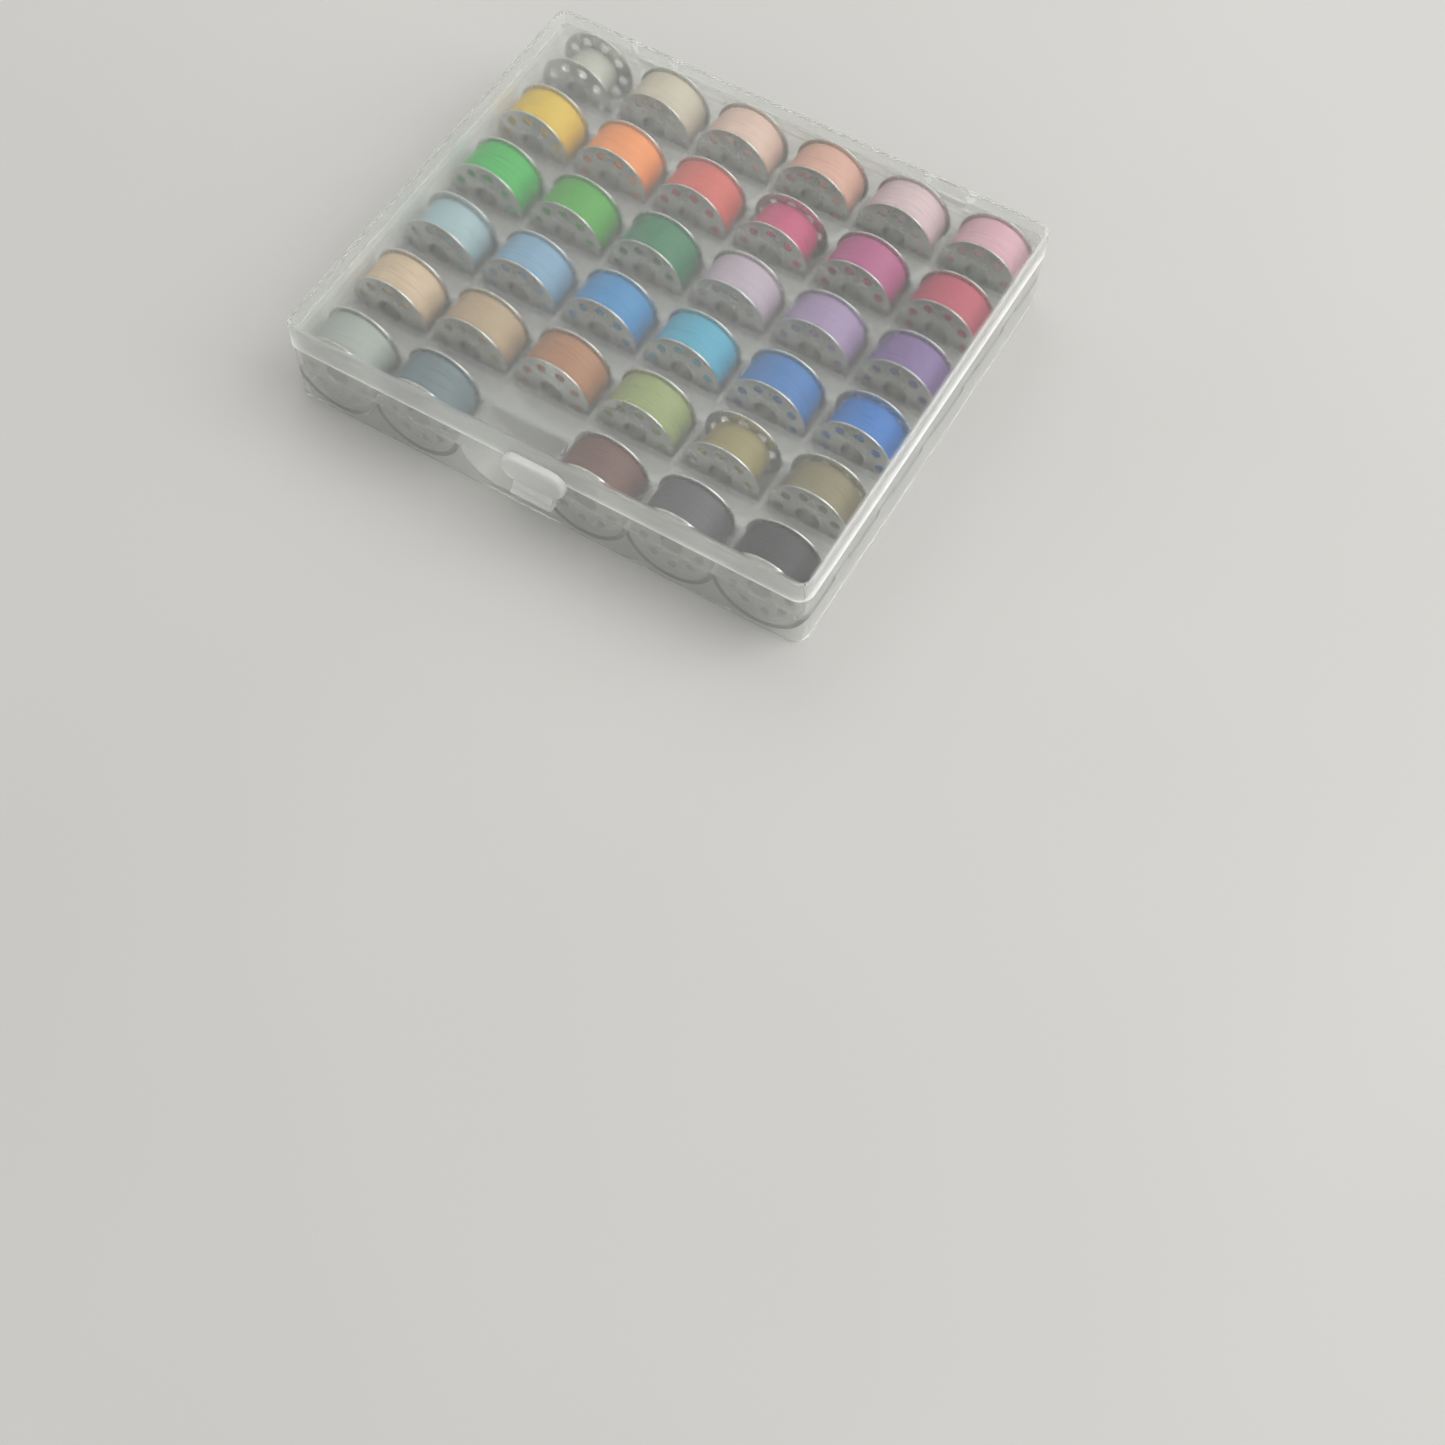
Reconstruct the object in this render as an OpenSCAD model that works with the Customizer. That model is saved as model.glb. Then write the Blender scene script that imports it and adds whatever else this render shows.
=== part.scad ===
// Flat hinged case for sewing-machine bobbins: a clear tray with a grid of half-round
// cradles, a lid that turns on two moulded hinges, a snap latch, and the wound bobbins.
// Millimetres, +Z up, +X along the front edge, -Y towards the latch.
// The origin is the middle of the footprint, on the table.

/* [Case] */
// Width of the closed case, along the latch edge
case_w = 140; // [118:0.5:160]
// Depth of the closed case, without hinges and latch
case_d = 120; // [104:0.5:140]
// Height of the closed case
case_h = 25; // [24.6:0.1:30]
// Radius of the upright corners of the lid
corner_r = 4; // [3:0.5:8]
// Radius along the lid's top edge
edge_r = 1.2; // [0.6:0.1:1.6]
// Height at which tray and lid part
parting_z = 17.5; // [17:0.1:18]
// Thickness of the lid's skirt
skirt_wall = 1.1; // [0.9:0.1:1.3]
// Thickness of the lid's top
lid_top = 1.2; // [0.9:0.1:1.3]
// Thickness of the tray's outer wall
tray_wall = 1.3; // [1:0.1:1.5]
// How far the tray stands in from the lid
tray_inset = 0.3; // [0.1:0.1:0.5]
// Thickness of the rim that the lid's skirt drops around
rim_wall = 0.8; // [0.6:0.1:1]
// Height of that rim above the parting line
rim_rise = 3.5; // [2:0.5:4]

/* [Bobbin grid] */
// Most bobbins along the front edge: a narrow case holds fewer
max_cols = 6; // [1:1:6]
// Most rows of bobbins, counted from the back: a shallow case holds fewer
max_rows = 6; // [1:1:6]
// Least length of the finger gaps between two rows of cradles
finger_room = 3; // [2:0.5:5]
// Room between the outer bobbins and the tray's rim
rim_room = 0.3; // [0.2:0.05:0.6]
// Height of the flat deck that the bobbins stand out of
deck_z = 10.9; // [10:0.1:11.5]
// Height of the bobbins' axes
axis_z = 12.5; // [12.5:0.1:12.7]
// Room at each end of a bobbin in its cradle
cradle_end_room = 0.5; // [0.3:0.05:0.6]
// Radial room round a bobbin
cradle_room = 0.5; // [0.4:0.05:0.5]
// Wall of the cradles and the deck
cradle_wall = 1.2; // [0.9:0.1:1.2]
// The cradle with no bobbin in it, by its row and column
empty_cradle = "r6_c3";

/* [Bobbin] */
// Radius of a bobbin's flanges
flange_r = 10.25; // [10.15:0.05:10.25]
// Thickness of the sheet that a bobbin is pressed from
sheet_t = 0.5; // [0.4:0.05:0.6]
// Overall width of a bobbin, over the flared ends of its hub
bobbin_w = 11.2; // [11:0.1:11.3]
// Outer radius of the hub tube
hub_r = 3.6; // [3.5:0.1:4]
// Radius of the hole for the spindle
spindle_r = 3.05; // [3:0.05:3.1]
// How far the flared hub stands out of a flange
flare_t = 0.2; // [0.1:0.05:0.3]
// Holes round a flange
flange_holes = 9; // [6:1:10]
// Radius of those holes
flange_hole_r = 1.3; // [1:0.1:1.4]
// Radius of the circle that they lie on
flange_hole_circle = 7.5; // [7:0.1:7.8]
// How far the flanges stand out of a full winding
flange_show = 0.65; // [0.4:0.05:1.5]
// How far a winding slopes down towards the flanges
winding_crown = 0.35; // [0.1:0.05:0.6]

/* [Hinges] */
// Distance of each hinge from the middle of the back
hinge_x = 42; // [30:1:50]
// Width of the tray's knuckle
knuckle_w = 9; // [7:0.5:12]
// Radius of knuckles and ears
knuckle_r = 1.7; // [1.6:0.05:1.75]
// Radius of the pegs on the lid's ears
peg_r = 0.9; // [0.8:0.05:1]
// Radial running room of a peg in its knuckle
peg_room = 0.05; // [0.02:0.01:0.1]
// Distance of the hinge line behind the lid
hinge_back = 1.9; // [1.85:0.05:2]
// Width of a lid ear
ear_w = 2.2; // [1.8:0.1:3]
// Side room between ear and knuckle
ear_gap = 0.3; // [0.2:0.05:0.5]
// How far a peg reaches into its knuckle
peg_reach = 3; // [2:0.25:3.5]

/* [Latch] */
// Width of the rounded upper part
latch_w = 17.2; // [14:0.1:20]
// Height of the rounded upper part
latch_h = 8; // [7:0.1:9]
// Thickness of the upper part
latch_t = 2.2; // [2:0.1:2.4]
// Width of the finger lip
lip_w = 10.6; // [8:0.1:12]
// Thickness of the finger lip
lip_t = 1.5; // [1.2:0.1:1.8]
// Height of the lip's lower edge above the table
lip_z = 9.2; // [8:0.1:10]
// Radius of the rolled edge of the lip
lip_roll_r = 0.9; // [0.6:0.1:1]

/* [Hidden] */
$fn = 96;
// Slits between tray and lid: at the parting line and round the rim
seat_gap = 0.15;
rim_gap = 0.3;
rim_out = skirt_wall + rim_gap;
// The rim grows out of a thick band of this height
rim_ledge = 1.2;
// How far the foot of a knuckle and of an ear reaches down and up the wall
knuckle_foot = 4.5;
ear_foot = 4.8;
// Radius of the front edge of the latch, and of its rod and groove
latch_edge_r = 1;
rod_r = 0.55;
rod_room = 0.05;
rod_len = 12;
rod_end_room = 0.3;
rod_web = 0.6;
web_slot = 1.1;
// How deep the rod lies in the latch, and how far below the latch's top
rod_depth = 0.7;
rod_drop = 1.4;
latch_gap = 0.5;
latch_mid_z = parting_z + 0.1;
latch_back_y = -case_d / 2 - latch_gap;
latch_rod_y = latch_back_y - rod_depth;
latch_rod_z = latch_mid_z + latch_h / 2 - rod_drop;
// The catch: a ridge on the tray and a bead on the lip that passes it
catch_r = 0.6;
catch_len = 9;
ridge_proud = 0.25;
bead_proud = 0.45;
ridge_z = 13.4;
bead_z = 12;
hinge_y = case_d / 2 + hinge_back;
// The lip reaches as far forward as the hinges reach back
latch_roll_y = lip_roll_r - hinge_y - knuckle_r;
cradle_r = flange_r + cradle_room;
cradle_len = bobbin_w + 2 * cradle_end_room;
// The bobbins spread evenly from rim to rim, as many as find room
grid_w = case_w - 2 * (rim_out + rim_wall + rim_room + flange_r);
grid_d = case_d - 2 * (rim_out + rim_wall + rim_room) - bobbin_w;
least_pitch_x = 2 * cradle_r + cradle_wall;
least_pitch_y = cradle_len + 2 * cradle_wall + finger_room;
cols = min(max_cols, 1 + floor(grid_w / least_pitch_x));
rows = min(max_rows, 1 + floor(grid_d / least_pitch_y));
pitch_x = grid_w / max(cols - 1, 1);
pitch_y = grid_d / max(rows - 1, 1);
// A bobbin's flared hub is this much wider than the hub's tube
flare_lip = 0.35;
// A hair of room keeps the wound thread a piece of its own
winding_room = 0.03;
winding_half = bobbin_w / 2 - flare_t - sheet_t - winding_room;
// Width of the slope beside each flange
crown_w = 1;
// The bobbins that are not full: row, column and the height of thread that is gone
used_thread = [[1, 1, 3.4], [2, 4, 1.4], [4, 1, 0.6], [4, 6, 0.8], [5, 5, 1.8], [5, 6, 0.8]];
// Bobbins stop turning anywhere: the turn from one row, or one column, to the next
row_turn = 17;
col_turn = 29;
thread_colour = [
    ["ivory", "antiquewhite", "mistyrose", "peachpuff", "thistle", "pink"],
    ["khaki", "sandybrown", "lightcoral", "palevioletred", "mediumorchid", "indianred"],
    ["mediumseagreen", "yellowgreen", "seagreen", "thistle", "mediumpurple", "darkorchid"],
    ["powderblue", "lightsteelblue", "cornflowerblue", "skyblue", "steelblue", "royalblue"],
    ["wheat", "tan", "sienna", "darkkhaki", "darkkhaki", "dimgray"],
    ["silver", "slategray", "silver", "rosybrown", "dimgray", "darkslategray"]
];
// Every cradle that holds a bobbin, as [row, column]
filled = [for (r = [1:rows]) for (c = [1:cols]) if (cradle_name([r, c]) != empty_cradle) [r, c]];

function cradle_name(p) = str("r", p[0], "_c", p[1]);
function bobbin_name(p) = str("bobbin_", cradle_name(p));
function col_x(c) = (c - (cols + 1) / 2) * pitch_x;
function row_y(r) = ((rows + 1) / 2 - r) * pitch_y;
function hole_turn(p) = (p[0] * row_turn + p[1] * col_turn) % (360 / flange_holes);
function thread_gone(p) = max([0, for (u = used_thread) if (u[0] == p[0] && u[1] == p[1]) u[2]]);

// A rectangle with round corners, built from exact arcs
module round_rect(w, d, r) {
    square([w - 2 * r, d], center = true);
    square([w, d - 2 * r], center = true);
    for (sx = [-1, 1])
        for (sy = [-1, 1])
            translate([sx * (w / 2 - r), sy * (d / 2 - r)]) circle(r);
}

// Half of a section whose upper outer corner is round: 0..half wide, 0..h high
module half_section(half, h, e) {
    square([half - e, h]);
    square([half, h - e]);
    translate([half - e, h - e]) circle(e);
}

module full_section(w, h, e) {
    half_section(w / 2, h, e);
    mirror([1, 0]) half_section(w / 2, h, e);
}

// A block with upright corners of radius r and a top edge of radius e
module soft_block(w, d, h, r, e) {
    rotate([90, 0, 90]) linear_extrude(w - 2 * r, center = true) full_section(d, h, e);
    rotate([90, 0, 0]) linear_extrude(d - 2 * r, center = true) full_section(w, h, e);
    for (sx = [-1, 1])
        for (sy = [-1, 1])
            translate([sx * (w / 2 - r), sy * (d / 2 - r)]) rotate_extrude() half_section(r, h, e);
}

// A ring of wall that follows the case outline, "out" in from the lid's face
module wall_ring(out, wall, h) {
    linear_extrude(h) difference() {
        round_rect(case_w - 2 * out, case_d - 2 * out, corner_r - out);
        round_rect(case_w - 2 * (out + wall), case_d - 2 * (out + wall),
                   max(corner_r - out - wall, 0.8));
    }
}

// The deck reaches to the middle of the tray's outer wall
module deck_outline() {
    out = tray_inset + tray_wall / 2;
    round_rect(case_w - 2 * out, case_d - 2 * out, corner_r - out);
}

// A bar along X, by its middle
module bar_x(r, len) {
    rotate([0, 90, 0]) cylinder(h = len, r = r, center = true);
}

// A bar along Y, by its middle
module bar_y(r, len) {
    rotate([90, 0, 0]) cylinder(h = len, r = r, center = true);
}

// A plate with the outline given in the Y-Z plane, by its middle in X
module plate_yz(width, points) {
    rotate([90, 0, 90]) linear_extrude(width, center = true) polygon(points);
}

// The outsides of the half-round troughs, cut off at the deck
module cradle_shells() {
    intersection() {
        union() {
            for (r = [1:rows])
                for (c = [1:cols])
                    translate([col_x(c), row_y(r), axis_z])
                        bar_y(cradle_r + cradle_wall, cradle_len + 2 * cradle_wall);
        }
        linear_extrude(deck_z) deck_outline();
    }
}

module cradle_bores() {
    for (r = [1:rows])
        for (c = [1:cols])
            translate([col_x(c), row_y(r), axis_z]) bar_y(cradle_r, cradle_len);
}

// The tray's half of a hinge: a bored knuckle on a gusset that grows from the back wall
module tray_knuckle() {
    slope = knuckle_r * cos(45);
    difference() {
        union() {
            translate([0, hinge_y, parting_z]) bar_x(knuckle_r, knuckle_w);
            plate_yz(knuckle_w, [
                [case_d / 2 - tray_inset - tray_wall / 2, parting_z - knuckle_foot],
                [case_d / 2 - tray_inset, parting_z - knuckle_foot],
                [hinge_y + slope, parting_z - slope],
                [hinge_y, parting_z],
                [case_d / 2 - tray_inset - tray_wall / 2, parting_z]
            ]);
        }
        translate([0, hinge_y, parting_z]) bar_x(peg_r + peg_room, knuckle_w + 1);
    }
}

// The lid's half of a hinge: two ears with pegs that face each other
module lid_ears() {
    slope = knuckle_r * cos(45);
    foot_z = parting_z + seat_gap;
    for (side = [-1, 1])
        translate([side * (knuckle_w / 2 + ear_gap + ear_w / 2), 0, 0]) {
            translate([0, hinge_y, parting_z]) bar_x(knuckle_r, ear_w);
            plate_yz(ear_w, [
                [case_d / 2 - skirt_wall / 2, foot_z],
                [hinge_y, foot_z],
                [hinge_y + slope, parting_z + slope],
                [case_d / 2, parting_z + ear_foot],
                [case_d / 2 - skirt_wall / 2, parting_z + ear_foot]
            ]);
            translate([-side * (ear_gap + peg_reach) / 2, hinge_y, parting_z])
                bar_x(peg_r, ear_w + ear_gap + peg_reach);
        }
}

// The deck with its troughs
module cradle_deck() {
    difference() {
        union() {
            translate([0, 0, deck_z - cradle_wall]) linear_extrude(cradle_wall) deck_outline();
            cradle_shells();
        }
        cradle_bores();
    }
}

module base_tray() {
    color("gainsboro") {
        wall_ring(tray_inset, tray_wall, parting_z);
        translate([0, 0, parting_z - rim_ledge])
            wall_ring(rim_out, rim_wall, rim_rise + rim_ledge);
        cradle_deck();
        for (side = [-1, 1])
            translate([side * hinge_x, 0, 0]) tray_knuckle();
        translate([0, -case_d / 2 + tray_inset + catch_r - ridge_proud, ridge_z])
            bar_x(catch_r, catch_len);
    }
}

module lid() {
    skirt_z = parting_z + seat_gap;
    color("whitesmoke") {
        difference() {
            translate([0, 0, skirt_z])
                soft_block(case_w, case_d, case_h - skirt_z, corner_r, edge_r);
            translate([0, 0, skirt_z - 1])
                linear_extrude(case_h - lid_top - skirt_z + 1)
                    round_rect(case_w - 2 * skirt_wall, case_d - 2 * skirt_wall,
                               corner_r - skirt_wall);
        }
        for (side = [-1, 1])
            translate([side * hinge_x, 0, 0]) lid_ears();
        translate([0, latch_rod_y, latch_rod_z]) bar_x(rod_r, rod_len);
        translate([-rod_len / 2, latch_rod_y, latch_rod_z - rod_web / 2])
            cube([rod_len, -case_d / 2 - latch_rod_y + skirt_wall / 2, rod_web]);
    }
}

// Upper part of the latch: a bar with round ends and a soft front edge, back face at Y = 0
module latch_pad() {
    end_r = latch_h / 2;
    rotate([90, 0, 0]) {
        for (side = [-1, 1])
            translate([side * (latch_w / 2 - end_r), 0, 0])
                rotate_extrude() half_section(end_r, latch_t, latch_edge_r);
        rotate([90, 0, 90]) linear_extrude(latch_w - latch_h, center = true)
            full_section(latch_h, latch_t, latch_edge_r);
    }
}

module front_latch() {
    pad_bottom_z = latch_mid_z - latch_h / 2;
    lip_face_y = latch_back_y - lip_t;
    color("whitesmoke") difference() {
        union() {
            translate([0, latch_back_y, latch_mid_z]) latch_pad();
            plate_yz(lip_w, [
                [latch_back_y, lip_z],
                [latch_roll_y, lip_z],
                [latch_roll_y, lip_z + 2 * lip_roll_r],
                [lip_face_y, pad_bottom_z],
                [lip_face_y, latch_mid_z],
                [latch_back_y, latch_mid_z]
            ]);
            translate([0, latch_roll_y, lip_z + lip_roll_r]) bar_x(lip_roll_r, lip_w);
            translate([0, latch_back_y + bead_proud - catch_r, bead_z]) bar_x(catch_r, catch_len);
        }
        translate([0, latch_rod_y, latch_rod_z]) bar_x(rod_r + rod_room, rod_len + 2 * rod_end_room);
        translate([-rod_len / 2 - rod_end_room, latch_rod_y, latch_rod_z - web_slot / 2])
            cube([rod_len + 2 * rod_end_room, rod_depth + 1, web_slot]);
    }
}

// A pressed steel bobbin on its side: two pierced flanges on a hub with flared ends
module spool() {
    flange_out = bobbin_w / 2 - flare_t;
    difference() {
        union() {
            for (side = [-1, 1]) {
                translate([0, 0, side * (flange_out - sheet_t / 2)])
                    cylinder(h = sheet_t, r = flange_r, center = true);
                translate([0, 0, side * flange_out])
                    cylinder(h = 2 * flare_t, r = hub_r + flare_lip, center = true);
            }
            cylinder(h = 2 * flange_out, r = hub_r, center = true);
        }
        cylinder(h = bobbin_w + 1, r = spindle_r, center = true);
        for (i = [0:flange_holes - 1])
            rotate(i * 360 / flange_holes) translate([flange_hole_circle, 0, 0])
                for (side = [-1, 1])
                    translate([0, 0, side * (flange_out - sheet_t / 2)])
                        cylinder(h = sheet_t + 0.2, r = flange_hole_r, center = true);
    }
}

// The wound thread: a ring that fills the hub between the flanges, slightly crowned
module winding(r) {
    rotate_extrude() polygon([
        [hub_r + winding_room, -winding_half],
        [r - winding_crown, -winding_half],
        [r, -winding_half + crown_w],
        [r, winding_half - crown_w],
        [r - winding_crown, winding_half],
        [hub_r + winding_room, winding_half]
    ]);
}

module bobbin(p) {
    r = p[0];
    c = p[1];
    translate([col_x(c), row_y(r), axis_z]) rotate([90, hole_turn(p), 0]) {
        color("silver") spool();
        color(thread_colour[r - 1][c - 1]) winding(flange_r - flange_show - thread_gone(p));
    }
}

base_tray();
lid();
front_latch();
for (p = filled)
    bobbin(p);
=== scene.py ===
"""Dresses the bobbin box: a frosted case, pressed steel bobbins and the thread wound on them."""

import logging
import math
import random
from collections.abc import Sequence
from dataclasses import dataclass, field
from enum import Enum

import bmesh
import bpy
from mathutils import Euler, Matrix, Vector


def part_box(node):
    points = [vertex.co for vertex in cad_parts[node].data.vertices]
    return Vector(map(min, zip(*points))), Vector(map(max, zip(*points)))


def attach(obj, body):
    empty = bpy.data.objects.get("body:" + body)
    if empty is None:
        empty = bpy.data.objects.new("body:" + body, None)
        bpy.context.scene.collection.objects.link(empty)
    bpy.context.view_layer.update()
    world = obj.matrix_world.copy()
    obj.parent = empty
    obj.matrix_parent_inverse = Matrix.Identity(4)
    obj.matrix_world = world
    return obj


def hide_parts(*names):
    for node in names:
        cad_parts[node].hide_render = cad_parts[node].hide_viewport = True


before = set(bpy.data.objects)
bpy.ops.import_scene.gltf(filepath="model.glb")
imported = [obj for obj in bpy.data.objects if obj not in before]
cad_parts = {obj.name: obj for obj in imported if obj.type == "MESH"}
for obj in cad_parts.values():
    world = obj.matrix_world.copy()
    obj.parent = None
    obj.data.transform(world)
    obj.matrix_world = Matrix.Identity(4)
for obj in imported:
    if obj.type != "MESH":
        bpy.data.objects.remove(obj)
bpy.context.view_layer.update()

LOG = logging.getLogger("bobbin_box")
MM = 0.001
FULL_TURN = 2 * math.pi
Colour = tuple[float, float, float]
Point = tuple[float, float, float]
Rings = list[list[bmesh.types.BMVert]]


def linear(red: int, green: int, blue: int) -> Colour:
    """Turns a colour as a paint chart gives it, 0 to 255, into linear light.

    Args:
        red: Red part, 0 to 255.
        green: Green part, 0 to 255.
        blue: Blue part, 0 to 255.

    Returns:
        The same colour in linear light, 0 to 1.
    """

    def one(level: int) -> float:
        """One channel of it."""
        share = level / 255
        return share / 12.92 if share <= 0.04045 else ((share + 0.055) / 1.055) ** 2.4

    return one(red), one(green), one(blue)


class ThreadShade(Enum):
    """The colours of sewing thread in the box."""

    WHITE = (185, 185, 172)
    CREAM = (190, 180, 160)
    BLUSH = (210, 180, 164)
    PEACH = (210, 162, 144)
    PALE_ROSE = (206, 182, 185)
    PINK = (210, 164, 175)
    YELLOW = (214, 178, 8)
    ORANGE = (232, 136, 56)
    CORAL = (196, 78, 64)
    FUCHSIA = (188, 60, 104)
    MAGENTA = (172, 80, 128)
    CRIMSON = (182, 74, 94)
    BRIGHT_GREEN = (20, 174, 60)
    GRASS = (54, 156, 20)
    BOTTLE_GREEN = (2, 110, 66)
    LILAC = (176, 160, 175)
    LAVENDER = (156, 132, 172)
    VIOLET = (124, 98, 152)
    ICE_BLUE = (156, 184, 190)
    BABY_BLUE = (115, 158, 188)
    CORNFLOWER = (8, 126, 186)
    SKY = (50, 158, 188)
    AZURE = (2, 104, 174)
    ROYAL = (6, 108, 190)
    SAND = (204, 180, 150)
    TAN = (174, 150, 118)
    TERRACOTTA = (164, 110, 68)
    SAGE = (138, 152, 90)
    KHAKI = (140, 128, 76)
    TAUPE = (124, 116, 80)
    FOG = (158, 166, 160)
    SLATE = (96, 114, 120)
    BROWN = (94, 54, 42)
    CHARCOAL = (66, 66, 70)
    BLACK = (28, 28, 32)

    def light(self) -> Colour:
        """The shade in linear light."""
        return linear(*self.value)


class Fill(Enum):
    """How much thread a bobbin holds, as the radius of the winding in millimetres."""

    FULL = 9.6
    SHORT = 9.0
    LESS = 8.8
    LOW = 8.2
    HALF = 7.8
    SCRAPS = 6.2


class Nodes:
    """A material's node tree, with short calls for the nodes that the finishes use."""

    def __init__(self, name: str) -> None:
        """Starts an empty material.

        Args:
            name: The material's name.
        """
        self.material = bpy.data.materials.new(name)
        self.material.use_nodes = True
        self.tree = self.material.node_tree
        self.tree.nodes.clear()
        self.output = self.tree.nodes.new("ShaderNodeOutputMaterial")

    def add(self, kind: str, **settings: object) -> bpy.types.Node:
        """Adds a node and sets its own settings.

        Args:
            kind: Blender's name of the node's type.
            **settings: Attributes of the node.

        Returns:
            The node.
        """
        node = self.tree.nodes.new(kind)
        for name, value in settings.items():
            setattr(node, name, value)
        return node

    def link(self, source: bpy.types.NodeSocket, target: bpy.types.NodeSocket) -> None:
        """Joins two sockets."""
        self.tree.links.new(source, target)

    def place(self) -> bpy.types.NodeSocket:
        """Position on the piece, in metres."""
        return self.add("ShaderNodeTexCoord").outputs["Object"]

    def stretched(self, source: bpy.types.NodeSocket, scale: Point) -> bpy.types.NodeSocket:
        """Scales a position by a different amount along each axis.

        Args:
            source: The position.
            scale: The three amounts.

        Returns:
            The scaled position.
        """
        node = self.add("ShaderNodeMapping")
        node.inputs["Scale"].default_value = scale
        self.link(source, node.inputs["Vector"])
        return node.outputs["Vector"]

    def noise(
        self, source: bpy.types.NodeSocket, scale: float, detail: float = 3.0, rough: float = 0.5
    ) -> bpy.types.NodeSocket:
        """Soft noise, about 0.5 on average.

        Args:
            source: The position that it is read at.
            scale: Lumps to the unit.
            detail: Number of finer layers.
            rough: Strength of the finer layers.

        Returns:
            The noise's value socket.
        """
        node = self.add("ShaderNodeTexNoise")
        node.inputs["Scale"].default_value = scale
        node.inputs["Detail"].default_value = detail
        node.inputs["Roughness"].default_value = rough
        self.link(source, node.inputs["Vector"])
        return node.outputs["Fac"]

    def spread(
        self, source: bpy.types.NodeSocket, low: float, high: float, start: float = 0.3, end: float = 0.7
    ) -> bpy.types.NodeSocket:
        """Maps start..end of a value to low..high, and holds it there beyond.

        Args:
            source: The value.
            low: What it is at start and below.
            high: What it is at end and above.
            start: Lower end of the range that is read.
            end: Upper end of that range.

        Returns:
            The mapped value.
        """
        node = self.add("ShaderNodeMapRange")
        for name, value in (("From Min", start), ("From Max", end), ("To Min", low), ("To Max", high)):
            node.inputs[name].default_value = value
        self.link(source, node.inputs["Value"])
        return node.outputs["Result"]

    def split(self, source: bpy.types.NodeSocket) -> bpy.types.Node:
        """Splits a position into its axes.

        Args:
            source: The position.

        Returns:
            The node, with an output for each axis.
        """
        axes = self.add("ShaderNodeSeparateXYZ")
        self.link(source, axes.inputs[0])
        return axes

    def length(self, source: bpy.types.NodeSocket) -> bpy.types.NodeSocket:
        """Measures how far a position is from the origin.

        Args:
            source: The position.

        Returns:
            The distance.
        """
        node = self.add("ShaderNodeVectorMath", operation="LENGTH")
        self.link(source, node.inputs[0])
        return node.outputs["Value"]

    def reckon(self, kind: str, first: object, second: object = 0.0) -> bpy.types.NodeSocket:
        """Does arithmetic on one or two values, each a socket or a number.

        Args:
            kind: Blender's name of the operation.
            first: The first value.
            second: The second value, where the operation takes two.

        Returns:
            The result.
        """
        node = self.add("ShaderNodeMath", operation=kind)
        for socket, value in zip(node.inputs, (first, second)):
            if isinstance(value, bpy.types.NodeSocket):
                self.link(value, socket)
            else:
                socket.default_value = value
        return node.outputs[0]

    def blend(self, share: bpy.types.NodeSocket, first: object, second: object) -> bpy.types.NodeSocket:
        """Mixes two colours, each a socket or a colour.

        Args:
            share: How much of the second, 0 to 1.
            first: The first colour.
            second: The second colour.

        Returns:
            The mixed colour.
        """
        node = self.add("ShaderNodeMix", data_type="RGBA")
        self.link(share, node.inputs[0])
        for socket, colour in zip((s for s in node.inputs if s.type == "RGBA"), (first, second)):
            if isinstance(colour, bpy.types.NodeSocket):
                self.link(colour, socket)
            else:
                socket.default_value = (*colour, 1)
        return next(socket for socket in node.outputs if socket.type == "RGBA")

    def bump(self, height: bpy.types.NodeSocket, strength: float, depth_mm: float) -> bpy.types.NodeSocket:
        """Makes a normal that follows a height.

        Args:
            height: The height, 0 to 1.
            strength: How much of it shows.
            depth_mm: What a height of 1 is, in millimetres.

        Returns:
            The normal.
        """
        node = self.add("ShaderNodeBump")
        node.inputs["Strength"].default_value = strength
        node.inputs["Distance"].default_value = depth_mm * MM
        self.link(height, node.inputs["Height"])
        return node.outputs["Normal"]

    def principled(self, **values: object) -> bpy.types.Node:
        """Adds a Principled shader and sets its inputs by name, with underscores for spaces.

        Args:
            **values: A number, a colour or a socket for each input.

        Returns:
            The shader's node.
        """
        shader = self.add("ShaderNodeBsdfPrincipled")
        for name, value in values.items():
            socket = shader.inputs[name.replace("_", " ")]
            if isinstance(value, bpy.types.NodeSocket):
                self.link(value, socket)
            else:
                socket.default_value = (*value, 1) if isinstance(value, tuple) else value
        return shader

    def finish(self, surface: bpy.types.NodeSocket) -> bpy.types.Material:
        """Sends a shader to the output and returns the material."""
        self.link(surface, self.output.inputs["Surface"])
        return self.material


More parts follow.
